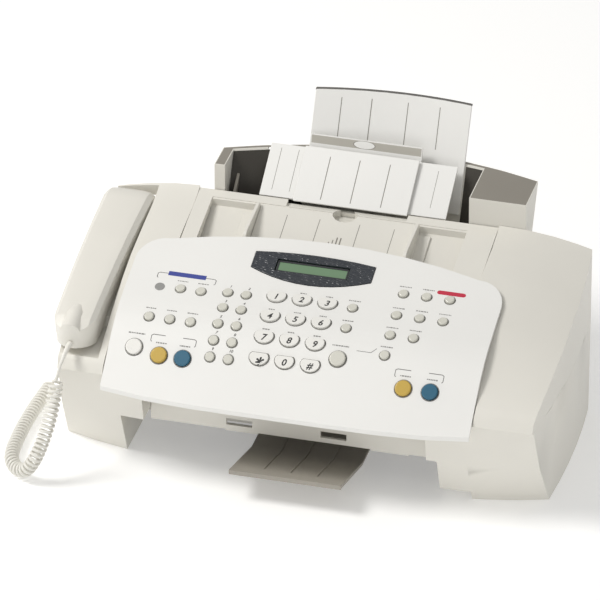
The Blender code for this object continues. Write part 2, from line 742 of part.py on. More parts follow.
def make_print_frame():
    arch = [(-144, 5.4), (-144, 43), (138, 43), (138, 5.4), (135, 5.4), (135, 40), (-141, 40), (-141, 5.4)]
    frame = loft([[(x, y, z) for x, z in arch] for y in (56.5, 112.0)])
    return add(frame, box(-144, 138, 14, 57, 40, 43))


def make_carriage():
    y, z = ROD
    bm = box(150, 190, 55, 86, 47, 62)
    return cut(bm, turned_x([(140, 4.5), (200, 4.5)], y, z))


def make_roller(x0, x1, radius, rubber, shaft_radius, y, z):
    """A shaft from x0 to x1 with one rubber sleeve."""
    r0, r1 = rubber
    steps = [(x0, shaft_radius), (r0, shaft_radius), (r0 + 0.01, radius)]
    steps += [(r1 - 0.01, radius), (r1, shaft_radius), (x1, shaft_radius)]
    return turned_x(steps, y, z)


def make_gear():
    y, z = EXIT_SHAFT
    teeth = 22
    outline = []
    for i in range(teeth):
        for k, radius in ((0.0, 11.0), (0.35, 11.0), (0.5, 9.2), (0.85, 9.2)):
            a = 2 * math.pi * (i + k) / teeth
            outline.append((y + radius * math.cos(a), z + radius * math.sin(a)))
    bore = turned_x([(-145, 2.9), (-125, 2.9)], y, z, 12)
    return cut(side_prism(outline, -138, -133), bore)


def make_main_board():
    bm = box(-138, -58, 58.5, 106, 8.0, 9.6)
    processor = box(-128, -108, 66, 86, 9.0, 12.5)
    connector = box(-98, -84, 90, 102, 9.0, 14.0)
    modem = box(-80, -66, 64, 74, 9.0, 18.0)
    return add(bm, processor, connector, modem)


def make_inlet():
    """Mains inlet: a block with a shrouded socket that opens to the back."""
    bm = box(150.4, 177.6, 128, 146.5, 20.4, 41.6)
    return cut(bm, box(153.5, 174.5, 134, 160, 25, 37.5))


def make_line_jack():
    bm = box(-180.6, -149.4, 130, 146.5, 20.4, 33.6)
    return cut(bm, box(-178, -167.5, 134, 160, 23, 31), box(-162.5, -152, 134, 160, 23, 31))


# ---------------------------------------------------------------- handset and cord

def handset_frame(x=0.0):
    """Matrix from the handset's own frame (x, along it, out of its back) to the working frame."""
    y, z = handset_point(0.0, 0.0)
    return Matrix.Translation((x, y, z)) @ Matrix.Rotation(HANDSET_TILT, 4, "X")


def handset_plan(inset):
    """The space inside the handset's outline seen square on, untapered: a blunt ear end and a rounded mouth end."""
    middle = sum(HANDSET_X) / 2
    wide = (HANDSET_X[1] - HANDSET_X[0]) / 2 - inset
    low, high = HANDSET_ENDS[0] + inset, HANDSET_ENDS[1] - inset
    outline = []
    for i in range(13):
        a = math.pi + math.pi * i / 12
        outline.append((middle + wide * math.cos(a), low + MOUTH_END * (1.0 + math.sin(a))))
    for i in range(9):
        a = math.pi * i / 8
        square = math.copysign(math.sqrt(abs(math.cos(a))), math.cos(a))
        outline.append((middle + wide * square, high - EAR_END * (1.0 - math.sqrt(abs(math.sin(a))))))
    return plan_prism(outline, -45.0, 20.0)


def arch(s):
    """How far the handset's arch moves its point s along it."""
    return HANDSET_ARCH * (1.0 - (s / HANDSET_ENDS[1]) ** 2) - 1.0


def bend_handset(bm):
    """Arches and tapers a shape in the handset's own frame, then places it."""
    for k in range(-3, 4):
        geometry = bm.verts[:] + bm.edges[:] + bm.faces[:]
        bmesh.ops.bisect_plane(bm, geom=geometry, plane_co=(0.0, 25.0 * k, 0.0), plane_no=(0.0, 1.0, 0.0))
    middle = sum(HANDSET_X) / 2
    for vert in bm.verts:
        x, s, t = vert.co
        share = (HANDSET_ENDS[1] - s) / (HANDSET_ENDS[1] - HANDSET_ENDS[0])
        x = middle - TAPER_SHIFT * share + (x - middle) * (1.0 - HANDSET_TAPER * share)
        vert.co = (x, s, t + arch(s))
    bm.transform(handset_frame())
    return bm


def make_handset_back():
    """Outer shell of the handset: a long rounded back with a boss over the cord's socket."""
    low, high = HANDSET_ENDS[0] - 1.0, HANDSET_ENDS[1] + 1.0
    profile = [(low, -16.0), (low, -9.0), (low + 5.0, -3.0), (low + 15.0, 0.0),
               (high - 15.0, 0.0), (high - 5.0, -3.0), (high, -9.0), (high, -16.0)]
    x0, x1 = HANDSET_X
    edges = [(x0, 5.0), (x0 + 4.0, 1.2), (x0 + 11.0, 0.0)]
    edges += [(x1 - 11.0, 0.0), (x1 - 4.0, 1.2), (x1, 5.0)]
    sections = []
    for x, drop in edges:
        sections.append([(x, s, t - drop if t > -15.0 else t) for s, t in profile])
    lengthwise = Matrix.Translation((sum(HANDSET_X) / 2, 0.0, -5.5)) @ Matrix.Rotation(-math.pi / 2, 4, "X")
    boss = turned_local([(low, 10.0), (-72.0, 9.4), (-64.0, 6.5), (-60.0, 3.0)], 20, lengthwise)
    return bend_handset(keep(add(loft(sections), boss), handset_plan(0.0)))


def make_handset_front():
    """Inner half of the handset: earpiece and mouthpiece ends with the grip between them."""
    low, high = HANDSET_ENDS
    outline = [(low, -16.35), (high, -16.35), (high, -27.0), (high - 5.0, -30.3), (47, -30.3), (41, -22.3),
               (-47, -22.3), (-53, -28.3), (low + 16.0, -28.3), (low, -21.5)]
    bm = loft([[(x, s, t) for s, t in outline] for x in HANDSET_X])
    return bend_handset(keep(bm, handset_plan(0.4)))


def hook_well(radius, bottom):
    y, z = handset_point(62.0, 0.0)
    place = Matrix.Translation((-190.0, y, z)) @ Matrix.Rotation(HANDSET_TILT, 4, "X")
    return turned_local([(bottom, radius), (-25.0, radius)], 12, place)


def make_hook_switch():
    y, z = handset_point(62.0, 0.0)
    place = Matrix.Translation((-190.0, y, z)) @ Matrix.Rotation(HANDSET_TILT, 4, "X")
    top = arch(62.0) - 30.7
    return turned_local([(-46.0, 3.9), (top - 0.7, 3.9), (top, 3.2)], 12, place)


def smooth_path(route, spacing):
    """Points along a smooth curve through the route's points."""
    points = [Vector(p) for p in route]
    ends = [points[0] * 2 - points[1]] + points + [points[-1] * 2 - points[-2]]
    path = []
    for k in range(len(points) - 1):
        p0, p1, p2, p3 = ends[k:k + 4]
        count = max(2, round((p2 - p1).length / spacing))
        for i in range(count):
            t = i / count
            a = 2 * p1 + (p2 - p0) * t
            b = (2 * p0 - 5 * p1 + 4 * p2 - p3) * t * t
            c = (3 * p1 - p0 - 3 * p2 + p3) * t * t * t
            path.append((a + b + c) / 2)
    return path + [points[-1]]


def add_cord(name, route, radius, spacing, resolution):
    curve = bpy.data.curves.new(name, "CURVE")
    curve.dimensions = "3D"
    curve.bevel_depth = radius * MM
    curve.bevel_resolution = resolution
    curve.use_fill_caps = True
    path = smooth_path(route, spacing)
    spline = curve.splines.new("POLY")
    spline.points.add(len(path) - 1)
    for point, place in zip(spline.points, path):
        point.co = (*(place * MM), 1.0)
    obj = bpy.data.objects.new(name, curve)
    curve.materials.append(paint(name, OFF_WHITE, 0.5))
    bpy.context.scene.collection.objects.link(obj)
    obj.parent = BODIES["root"][0]
    return obj


# ---------------------------------------------------------------- assembly

def clear_scene():
    for obj in list(bpy.data.objects):
        bpy.data.objects.remove(obj, do_unlink=True)


def add_housing():
    body_empty("root", (0.0, 0.0, 0.0))
    add_node("base_housing", make_base(), "root", OFF_WHITE)
    add_node("right_cover", make_right_cover(), "root", OFF_WHITE)
    add_node("left_cover", make_left_cover(), "root", OFF_WHITE)
    add_node("front_bar", make_bar(), "root", OFF_WHITE)
    add_node("paper_feeder", make_feeder(), "root", OFF_WHITE)
    body_empty("paper_support", (0.0, rear_rim(15.0) - 6.3, FEEDER_TOP), "root")
    add_node("paper_support", make_paper_support(), "paper_support", PANEL_WHITE)
    body_empty("feeder_guide", (-104.8, 156.0, 140.0), "root")
    add_node("feeder_guide", make_feeder_guide(), "feeder_guide", GREY)
    body_empty("output_tray", (0.0, 0.0, 7.0), "root")
    add_node("output_tray", make_tray(), "output_tray", GREY, 0.5)


def add_engine():
    add_node("print_frame", make_print_frame(), "root", STEEL, 0.4, 0.8)
    add_node("main_board", make_main_board(), "root", (0.05, 0.20, 0.09), 0.5)
    add_node("power_supply", box(62, 130, 60, 106, 6.0, 34.0), "root", STEEL, 0.4, 0.8)
    add_node("power_inlet", make_inlet(), "root", DARK, 0.5)
    add_node("line_jack", make_line_jack(), "root", DARK, 0.5)
    speaker = plan_prism(circle(17.0, 20, (-176.0, 31.0)), 6.0, 12.0)
    magnet = plan_prism(circle(9.0, 16, (-176.0, 31.0)), 11.0, 20.0)
    add_node("speaker", add(speaker, magnet), "root", DARK, 0.5)
    add_node("carriage_rod", turned_x([(-198, 4.0), (198, 4.0)], *ROD), "root", STEEL, 0.2, 1.0)
    motor = turned_x([(-197, 13.0), (-172, 13.0), (-171.9, 3.0), (-164, 3.0)], 118.0, 58.0)
    add_node("drive_motor", motor, "root", STEEL, 0.35, 0.9)
    body_empty("carriage", (170.0, *ROD), "root")
    add_node("carriage", make_carriage(), "carriage", DARK, 0.5)
    add_node("black_cartridge", box(151, 168.5, 56, 84, 62.4, 85.5), "carriage", DARK, 0.4)
    add_node("colour_cartridge", box(171, 189, 56, 84, 62.4, 85.5), "carriage", (0.10, 0.12, 0.20), 0.4)
    body_empty("exit_roller", (0.0, *EXIT_SHAFT), "root")
    exit_roller = make_roller(-143, 137, 5.0, (-124, 104), 2.5, *EXIT_SHAFT)
    add_node("exit_roller", exit_roller, "exit_roller", DARK, 0.7)
    add_node("drive_gear", make_gear(), "exit_roller", PANEL_WHITE, 0.5)
    body_empty("pick_roller", (0.0, *PICK_SHAFT), "root")
    pick_roller = make_roller(-131, 123, 13.0, (-58, 48), 4.0, *PICK_SHAFT)
    add_node("pick_roller", pick_roller, "pick_roller", DARK, 0.8)


def add_scan_unit():
    body_empty("scan_unit", (0.0, *SCAN_HINGE), "root")
    add_node("document_deck", make_deck(), "scan_unit", OFF_WHITE)
    add_node("image_sensor", box(-112, 92, 36, 53, 110.0, 121.6), "scan_unit", DARK, 0.3)
    body_empty("document_roller", (0.0, *DOC_SHAFT), "scan_unit")
    document_roller = make_roller(-111, 91, 6.0, (-100, 80), 3.0, *DOC_SHAFT)
    add_node("document_roller", document_roller, "document_roller", DARK, 0.8)
    guides = (("left_document_guide", GUIDE_FACES[0], -1), ("right_document_guide", GUIDE_FACES[1], 1))
    for name, face, outward in guides:
        body_empty(name, (face, 112.0, on_line(PATH_LINE, 112.0)), "scan_unit")
        add_node(name, guide(face, outward), name, OFF_WHITE)
    body_empty("document_support", (0.0, *SUPPORT_HINGE), "root")
    add_node("document_support", make_document_support(), "document_support", PANEL_WHITE)
    body_empty("support_leaf", (0.0, *LEAF_HINGE), "document_support")
    add_node("support_leaf", make_leaf(), "support_leaf", PANEL_WHITE)


def add_panel():
    body_empty("control_panel", (0.0, *PANEL_HINGE), "scan_unit")
    add_node("control_panel", make_panel(), "control_panel", PANEL_WHITE)
    add_node("lcd_bezel", make_bezel(), "control_panel", DARK, 0.3)
    add_node("lcd_module", make_lcd(), "control_panel", (0.10, 0.22, 0.12), 0.2)
    make_key_nodes()


def add_handset():
    pivot = (sum(HANDSET_X) / 2, *HANDSET_MID)
    body_empty("handset", pivot, "root")
    add_node("handset_back", make_handset_back(), "handset", OFF_WHITE)
    add_node("handset_front", make_handset_front(), "handset", OFF_WHITE)
    body_empty("hook_switch", (-190.0, *handset_point(62.0, -38.0)), "root")
    add_node("hook_switch", make_hook_switch(), "hook_switch", KEY_IVORY)
    add_cord("handset_lead", LEAD_ROUTE, LEAD_RADIUS, 5.0, 2)
    add_cord("curly_cord", COIL_ROUTE, COIL_RADIUS, 15.0, 3)
    add_cord("base_lead", BASE_LEAD_ROUTE, LEAD_RADIUS, 5.0, 2)
    x, y, z = PLUG_CENTRE
    add_node("cord_plug", box(x - 5.5, x + 5.5, y - 5.2, y + 5.2, z - 4.2, z + 4.2), "root", OFF_WHITE)


CORD_NODES = ("handset_lead", "curly_cord", "base_lead", "cord_plug")


def centre_on_origin():
    """Moves the root so that the box of everything but the cord stands centred on the origin."""
    bpy.context.view_layer.update()
    corners = []
    for obj in bpy.data.objects:
        if obj.type == "MESH" and obj.name not in CORD_NODES:
            corners += [obj.matrix_world @ v.co for v in obj.data.vertices]
    low = [min(c[k] for c in corners) for k in range(3)]
    high = [max(c[k] for c in corners) for k in range(3)]
    BODIES["root"][0].location = (-(low[0] + high[0]) / 2, -(low[1] + high[1]) / 2, -low[2])


def main():
    clear_scene()
    add_housing()
    add_engine()
    add_scan_unit()
    add_panel()
    add_handset()
    centre_on_origin()


main()
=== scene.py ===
import math
import random

import bmesh
import bpy
from mathutils import Matrix, Vector


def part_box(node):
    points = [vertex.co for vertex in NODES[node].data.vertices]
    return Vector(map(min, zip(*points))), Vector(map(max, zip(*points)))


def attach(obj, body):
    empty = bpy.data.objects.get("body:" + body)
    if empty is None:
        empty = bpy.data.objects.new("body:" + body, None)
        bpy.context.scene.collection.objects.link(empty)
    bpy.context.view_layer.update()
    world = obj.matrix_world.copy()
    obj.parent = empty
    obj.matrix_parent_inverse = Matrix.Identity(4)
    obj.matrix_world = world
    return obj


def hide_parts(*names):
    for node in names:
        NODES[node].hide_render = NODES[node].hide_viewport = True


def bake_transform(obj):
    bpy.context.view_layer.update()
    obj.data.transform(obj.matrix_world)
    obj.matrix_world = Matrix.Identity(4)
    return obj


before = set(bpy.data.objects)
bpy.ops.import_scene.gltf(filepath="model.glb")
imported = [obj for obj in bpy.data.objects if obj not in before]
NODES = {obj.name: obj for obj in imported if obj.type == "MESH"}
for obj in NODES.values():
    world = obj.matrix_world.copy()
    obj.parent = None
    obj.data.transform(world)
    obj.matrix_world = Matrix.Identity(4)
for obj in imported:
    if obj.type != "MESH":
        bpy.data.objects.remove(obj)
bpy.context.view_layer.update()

MM = 0.001

# The part is drawn in millimetres in a working frame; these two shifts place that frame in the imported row.
PANEL_CX = -5.5
REAR_Y = 150.0
panel_low, panel_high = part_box("control_panel")
SHIFT_X = (panel_low[0] + panel_high[0]) / 2 / MM - PANEL_CX
SHIFT_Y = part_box("base_housing")[1][1] / MM - REAR_Y


def place(p):
    """A point of the working frame, in metres in the row frame."""
    return Vector((p[0] + SHIFT_X, p[1] + SHIFT_Y, p[2])) * MM


TO_ROW = Matrix.Scale(MM, 4) @ Matrix.Translation((SHIFT_X, SHIFT_Y, 0.0))


# ---------------------------------------------------------------- camera, light, floor

CAMERA_ROUND = math.radians(15.0)
CAMERA_RAISED = math.radians(31.0)
CAMERA_DISTANCE = 6.593
CAMERA_AIM = (-22.1, 60.0, 120.5)


def add_camera():
    """A long lens, turned round to the machine's right and raised above it."""
    data = bpy.data.cameras.new("camera")
    data.sensor_width = 36.0
    data.lens = 480.0
    data.clip_end = 50.0
    camera = bpy.data.objects.new("camera", data)
    bpy.context.scene.collection.objects.link(camera)
    flat = math.cos(CAMERA_RAISED)
    ahead = flat * Vector((-math.sin(CAMERA_ROUND), math.cos(CAMERA_ROUND), 0.0))
    forward = ahead - Vector((0.0, 0.0, math.sin(CAMERA_RAISED)))
    side = forward.cross(Vector((0.0, 0.0, 1.0))).normalized()
    up = side.cross(forward)
    turn = Matrix((side, up, -forward)).transposed().to_4x4()
    camera.matrix_world = Matrix.Translation(place(CAMERA_AIM) - CAMERA_DISTANCE * forward) @ turn
    bpy.context.scene.camera = camera


def add_area(name, spot, aim, size, power, colour=(1.0, 1.0, 1.0)):
    data = bpy.data.lights.new(name, "AREA")
    data.shape = "DISK"
    data.size = size
    data.energy = power
    data.color = colour
    lamp = bpy.data.objects.new(name, data)
    bpy.context.scene.collection.objects.link(lamp)
    lamp.location = spot
    lamp.rotation_euler = (Vector(aim) - Vector(spot)).to_track_quat("-Z", "Y").to_euler()


SKY_SIDES = 0.52
SKY_TOP = 0.50
FLOOR_GLOW = 0.22


def add_sky():
    """A world a little brighter at the horizon than overhead."""
    world = bpy.data.worlds.new("studio")
    world.use_nodes = True
    tree = world.node_tree
    coords = tree.nodes.new("ShaderNodeTexCoord")
    split = tree.nodes.new("ShaderNodeSeparateXYZ")
    tree.links.new(coords.outputs["Generated"], split.inputs["Vector"])
    fade = tree.nodes.new("ShaderNodeMapRange")
    fade.inputs["From Min"].default_value = 0.05
    fade.inputs["From Max"].default_value = 0.75
    fade.inputs["To Min"].default_value = SKY_SIDES
    fade.inputs["To Max"].default_value = SKY_TOP
    tree.links.new(split.outputs["Z"], fade.inputs["Value"])
    background = tree.nodes["Background"]
    background.inputs["Color"].default_value = (1.0, 0.995, 0.98, 1.0)
    tree.links.new(fade.outputs["Result"], background.inputs["Strength"])
    bpy.context.scene.world = world


def add_studio():
    bpy.context.scene.view_settings.view_transform = "Standard"
    add_sky()
    add_area("key", (-1.5, -0.6, 2.2), (0.0, 0.0, 0.1), 1.0, 40.0, (1.0, 0.985, 0.965))
    add_area("front", (0.6, -2.6, 0.3), (0.0, 0.0, 0.05), 1.0, 4.0)
    bpy.ops.mesh.primitive_plane_add(size=6.0, location=(0.0, 0.0, 0.0))
    floor = bpy.context.active_object
    floor.name = "floor"
    paper = plain("floor_paper", (0.93, 0.93, 0.925), 0.9)
    shader = paper.node_tree.nodes["Principled BSDF"]
    shader.inputs["Emission Color"].default_value = (1.0, 1.0, 1.0, 1.0)
    shader.inputs["Emission Strength"].default_value = FLOOR_GLOW
    floor.data.materials.append(paper)


# ---------------------------------------------------------------- materials

def plain(name, colour, roughness):
    material = bpy.data.materials.new(name)
    material.use_nodes = True
    shader = material.node_tree.nodes["Principled BSDF"]
    shader.inputs["Base Color"].default_value = (*colour, 1.0)
    shader.inputs["Roughness"].default_value = roughness
    return material


def noise_node(tree, coords, scale, detail=2.0):
    node = tree.nodes.new("ShaderNodeTexNoise")
    node.inputs["Scale"].default_value = scale
    node.inputs["Detail"].default_value = detail
    tree.links.new(coords.outputs["Object"], node.inputs["Vector"])
    return node


def ranged(tree, value, low, high):
    """Stretches the middle of a noise value's range to run from low to high."""
    node = tree.nodes.new("ShaderNodeMapRange")
    node.inputs["From Min"].default_value = 0.3
    node.inputs["From Max"].default_value = 0.7
    node.inputs["To Min"].default_value = low
    node.inputs["To Max"].default_value = high
    tree.links.new(value, node.inputs["Value"])
    return node.outputs["Result"]


GRAIN_DEPTH = 0.0001
WAVE_DEPTH = 0.0006


def moulded(name, colour, roughness=0.42, grain=900.0, bump=0.12, spread=0.035, metallic=0.0, coat=0.0):
    """Moulded plastic or painted metal: a fine grain, slow changes of shade, and uneven gloss."""
    material = plain(name, colour, roughness)
    tree = material.node_tree
    shader = tree.nodes["Principled BSDF"]
    shader.inputs["Metallic"].default_value = metallic
    shader.inputs["Coat Weight"].default_value = coat
    coords = tree.nodes.new("ShaderNodeTexCoord")
    slow = noise_node(tree, coords, 9.0, 4.0)
    fine = noise_node(tree, coords, grain)
    mix = tree.nodes.new("ShaderNodeMix")
    mix.data_type = "RGBA"
    tree.links.new(ranged(tree, slow.outputs["Fac"], 0.0, 1.0), mix.inputs["Factor"])
    mix.inputs["A"].default_value = (*[c * (1.0 - spread) for c in colour], 1.0)
    mix.inputs["B"].default_value = (*[min(c * (1.0 + spread * 0.6), 1.0) for c in colour], 1.0)
    tree.links.new(mix.outputs["Result"], shader.inputs["Base Color"])
    gloss = ranged(tree, fine.outputs["Fac"], roughness - 0.05, roughness + 0.07)
    tree.links.new(gloss, shader.inputs["Roughness"])
    relief = tree.nodes.new("ShaderNodeBump")
    relief.inputs["Strength"].default_value = bump
    relief.inputs["Distance"].default_value = GRAIN_DEPTH
    tree.links.new(fine.outputs["Fac"], relief.inputs["Height"])
    tree.links.new(relief.outputs["Normal"], shader.inputs["Normal"])
    return material


def rippled(name, colour):
    """Glossy dark plastic with moulded waves."""
    material = moulded(name, colour, 0.22, 1200.0, 0.05, 0.1, coat=0.4)
    tree = material.node_tree
    coords = tree.nodes.new("ShaderNodeTexCoord")
    wave = tree.nodes.new("ShaderNodeTexWave")
    wave.bands_direction = "Y"
    wave.inputs["Scale"].default_value = 130.0
    wave.inputs["Distortion"].default_value = 5.0
    wave.inputs["Detail Scale"].default_value = 1.5
    tree.links.new(coords.outputs["Object"], wave.inputs["Vector"])
    relief = tree.nodes.new("ShaderNodeBump")
    relief.inputs["Strength"].default_value = 0.5
    relief.inputs["Distance"].default_value = WAVE_DEPTH
    tree.links.new(wave.outputs["Fac"], relief.inputs["Height"])
    tree.links.new(relief.outputs["Normal"], tree.nodes["Principled BSDF"].inputs["Normal"])
    return material


BODY = moulded("body_plastic", (0.77, 0.75, 0.69), 0.42)
PANEL = moulded("panel_plastic", (0.84, 0.835, 0.81), 0.40, spread=0.02)
KEYS = moulded("key_plastic", (0.66, 0.65, 0.58), 0.30, bump=0.05, coat=0.2)
KEYPAD = moulded("keypad_plastic", (0.84, 0.83, 0.79), 0.30, bump=0.05, coat=0.2)
YELLOW = moulded("yellow_key_plastic", (0.56, 0.38, 0.07), 0.32, bump=0.04, coat=0.15)
BLUE = moulded("blue_key_plastic", (0.02, 0.12, 0.20), 0.32, bump=0.04, coat=0.15)
DARK = moulded("dark_plastic", (0.035, 0.036, 0.040), 0.35, bump=0.1)
TRAY = moulded("grey_plastic", (0.36, 0.335, 0.29), 0.48, spread=0.05)
STEEL = moulded("plated_steel", (0.55, 0.55, 0.56), 0.32, 300.0, 0.08, metallic=1.0)
BOARD = moulded("circuit_board", (0.04, 0.17, 0.08), 0.35, 500.0, 0.1, 0.15)
RUBBER = moulded("roller_rubber", (0.05, 0.05, 0.052), 0.75, 700.0, 0.25)
CORD = moulded("cord_plastic", (0.80, 0.785, 0.73), 0.35, 1500.0, 0.05)
DISPLAY = moulded("display_glass", (0.16, 0.27, 0.155), 0.18, 2500.0, 0.02, 0.08, coat=0.6)
BEZEL = rippled("bezel_plastic", (0.022, 0.027, 0.036))
INK = moulded("grey_ink", (0.13, 0.125, 0.12), 0.6, 3000.0, 0.05, 0.1)
LABEL_INK = moulded("label_ink", (0.27, 0.265, 0.255), 0.6, 3000.0, 0.05, 0.1)
DARK_INK = moulded("dark_ink", (0.03, 0.03, 0.03), 0.6, 3000.0, 0.05, 0.1)
BLUE_INK = moulded("blue_ink", (0.045, 0.065, 0.30), 0.5, 3000.0, 0.05, 0.08)
RED_INK = moulded("red_ink", (0.55, 0.025, 0.06), 0.5, 3000.0, 0.05, 0.08)
# painted shade: the colour of the shadowed gap round each key
SHADE = moulded("surround_shade", (0.20, 0.195, 0.18), 0.6, 3000.0, 0.05, 0.1)
LENS = moulded("indicator_lens", (0.30, 0.30, 0.29), 0.2, 1500.0, 0.03, 0.05, coat=0.5)
# painted shade: the dark of the shade in moulded grooves and beside moulded ribs
GROOVE_SHADE = moulded("groove_shade", (0.24, 0.225, 0.20), 0.6, 1500.0, 0.05)
# painted shade: the dark of the shadowed inside of the paper bin
BIN_SHADE = moulded("bin_painted_shade", (0.045, 0.040, 0.032), 0.6, 900.0, 0.1, 0.1)
# painted shade: the darker tone that the raised bar's upper face takes under the light
BAR_SHADE = moulded("bar_painted_shade", (0.46, 0.44, 0.39), 0.5, 1200.0, 0.08, 0.06)
# painted shade: the dark tone of the feeder's top faces, which turn away from the light
FEEDER_TOP_SHADE = moulded("feeder_top_shade_colour", (0.27, 0.25, 0.215), 0.5, 1200.0, 0.08, 0.08)
# a dark strip along the paper support's upper edge
EDGE = moulded("dark_upper_edge", (0.13, 0.125, 0.115), 0.5, 1200.0, 0.08, 0.08)

NODE_MATERIALS = {
    "base_housing": BODY, "right_cover": BODY, "left_cover": BODY, "front_bar": BODY, "paper_feeder": BODY,
    "document_deck": BODY, "handset_back": BODY, "handset_front": BODY, "cord_plug": BODY,
    "left_document_guide": BODY, "right_document_guide": BODY,
    "control_panel": PANEL, "paper_support": PANEL, "document_support": PANEL, "support_leaf": PANEL,
    "drive_gear": PANEL,
    "left_key_group": KEYS, "one_touch_key_group": KEYS, "function_key_group": KEYS, "scan_key": KEYPAD,
    "redial_key": KEYS, "hook_switch": KEYS,
    "copy_black_key": YELLOW, "fax_black_key": YELLOW, "copy_colour_key": BLUE, "fax_colour_key": BLUE,
    "lcd_bezel": BEZEL, "lcd_module": DISPLAY, "carriage": DARK, "power_inlet": DARK, "line_jack": DARK,
    "speaker": DARK, "black_cartridge": DARK, "colour_cartridge": DARK, "image_sensor": DARK,
    "output_tray": TRAY, "feeder_guide": TRAY,
    "print_frame": STEEL, "carriage_rod": STEEL, "drive_motor": STEEL, "power_supply": STEEL,
    "main_board": BOARD, "exit_roller": RUBBER, "pick_roller": RUBBER, "document_roller": RUBBER,
}
EDGE_WIDTHS = {
    "base_housing": 1.0, "right_cover": 1.2, "left_cover": 1.2, "front_bar": 0.8, "paper_feeder": 0.9,
    "document_deck": 0.7, "handset_back": 1.8, "handset_front": 1.8, "cord_plug": 0.8,
    "left_document_guide": 0.8, "right_document_guide": 0.8, "control_panel": 0.5, "paper_support": 0.6,
    "document_support": 0.6, "support_leaf": 0.5, "output_tray": 0.25, "feeder_guide": 0.5, "lcd_bezel": 0.4,
    "power_inlet": 0.6, "line_jack": 0.5, "carriage": 0.8, "black_cartridge": 1.0, "colour_cartridge": 1.0,
}


KEY_EDGE = 0.35
OTHER_EDGE = 0.3
WELD_REACH = 0.00001
FLAT_ANGLE = math.radians(0.3)
SHARP_ANGLE = math.radians(32.0)
FACE_WEIGHT = 90


def soften(obj, width):
    """Rounds the sharp edges and smooths the rest."""
    weld = obj.modifiers.new("weld", "WELD")
    weld.merge_threshold = WELD_REACH
    flat = obj.modifiers.new("flat", "DECIMATE")
    flat.decimate_type = "DISSOLVE"
    flat.angle_limit = FLAT_ANGLE
    bevel = obj.modifiers.new("edges", "BEVEL")
    bevel.width = width * MM
    bevel.segments = 2
    bevel.limit_method = "ANGLE"
    bevel.angle_limit = SHARP_ANGLE
    bevel.use_clamp_overlap = True
    bevel.face_strength_mode = "FSTR_ALL"
    even = obj.modifiers.new("even", "WEIGHTED_NORMAL")
    even.weight = FACE_WEIGHT
    even.use_face_influence = True
    obj.data.shade_smooth()


def dress_nodes():
    """A material and rounded edges for every CAD piece."""
    for name, node in NODES.items():
        material = NODE_MATERIALS.get(name, KEYPAD if name.startswith("digit_key") else BODY)
        node.data.materials.clear()
        node.data.materials.append(material)
        for polygon in node.data.polygons:
            polygon.material_index = 0
        width = EDGE_WIDTHS.get(name)
        if width is None:
            width = KEY_EDGE if "key" in name else OTHER_EDGE
        soften(node, width)


# ---------------------------------------------------------------- mesh helpers

def finished(bm, name, material, body):
    """The named piece that bm holds, on its body."""
    bmesh.ops.recalc_face_normals(bm, faces=bm.faces)
    mesh = bpy.data.meshes.new(name)
    bm.to_mesh(mesh)
    bm.free()
    mesh.materials.append(material)
    obj = bpy.data.objects.new(name, mesh)
    bpy.context.scene.collection.objects.link(obj)
    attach(obj, body)
    return obj


def prism(bm, ring, ring_top):
    """A closed solid between two rings of points with the same count."""
    low = [bm.verts.new(p) for p in ring]
    high = [bm.verts.new(p) for p in ring_top]
    bm.faces.new(low)
    bm.faces.new(high)
    bridge(bm, low, high)


def bridge(bm, low, high):
    """The faces between two loops of points."""
    n = len(low)
    for i in range(n):
        j = (i + 1) % n
        bm.faces.new([low[i], low[j], high[j], high[i]])


def skin(bm, rings):
    """A closed solid through a row of rings of points."""
    loops = [[bm.verts.new(p) for p in ring] for ring in rings]
    for low, high in zip(loops, loops[1:]):
        bridge(bm, low, high)
    bm.faces.new(loops[0])
    bm.faces.new(loops[-1])


def mesh_of(curve):
    """The mesh that a curve or a text makes."""
    holder = bpy.data.objects.new(curve.name, curve)
    bpy.context.scene.collection.objects.link(holder)
    bpy.context.view_layer.update()
    mesh = bpy.data.meshes.new_from_object(holder.evaluated_get(bpy.context.evaluated_depsgraph_get()))
    bpy.data.objects.remove(holder)
    mesh.materials.clear()
    return mesh


# ---------------------------------------------------------------- control panel surface

# The panel's profile is a steep lower face and a flatter upper face, with a round bend between them.
# PANEL_BEND is where the two faces would meet, and PANEL_TANGENT is how far from there the bend begins.
PANEL_BEND = (-7.3, 125.6)
PANEL_TANGENT = 25.0
PANEL_LOW = math.radians(42.0)
PANEL_HIGH = math.radians(17.2)
BEND_RADIUS = PANEL_TANGENT / math.tan((PANEL_LOW - PANEL_HIGH) / 2)
BEND_LENGTH = BEND_RADIUS * (PANEL_LOW - PANEL_HIGH)
BEND_TOP = Vector((0.0, PANEL_BEND[0] + PANEL_TANGENT * math.cos(PANEL_HIGH),
                   PANEL_BEND[1] + PANEL_TANGENT * math.sin(PANEL_HIGH)))
BEND_CENTRE = BEND_TOP + BEND_RADIUS * Vector((0.0, math.sin(PANEL_HIGH), -math.cos(PANEL_HIGH)))
KEY_TOP = 1.9
SUNK = -0.12
PROUD = 0.05
LABEL_PROUD = 0.09
STROKE_PIECE = 5.0


def panel_point(x, s, t=0.0):
    """The point s along the panel's profile and t above its face, and the slope there."""
    slope = PANEL_HIGH + min(max(-s, 0.0), BEND_LENGTH) / BEND_RADIUS
    along = Vector((0.0, math.cos(slope), math.sin(slope)))
    out = Vector((0.0, -math.sin(slope), math.cos(slope)))
    if s >= 0.0:
        point = BEND_TOP + s * along
    else:
        point = BEND_CENTRE + BEND_RADIUS * out + min(s + BEND_LENGTH, 0.0) * along
    point = point + t * out
    return Vector((x, point.y, point.z)), slope


def panel_slab(bm, outline, low=SUNK, high=PROUD):
    """A thin solid over an (x, s) outline on the panel, from low to high above its face."""
    prism(bm, [place(panel_point(x, s, low)[0]) for x, s in outline],
          [place(panel_point(x, s, high)[0]) for x, s in outline])


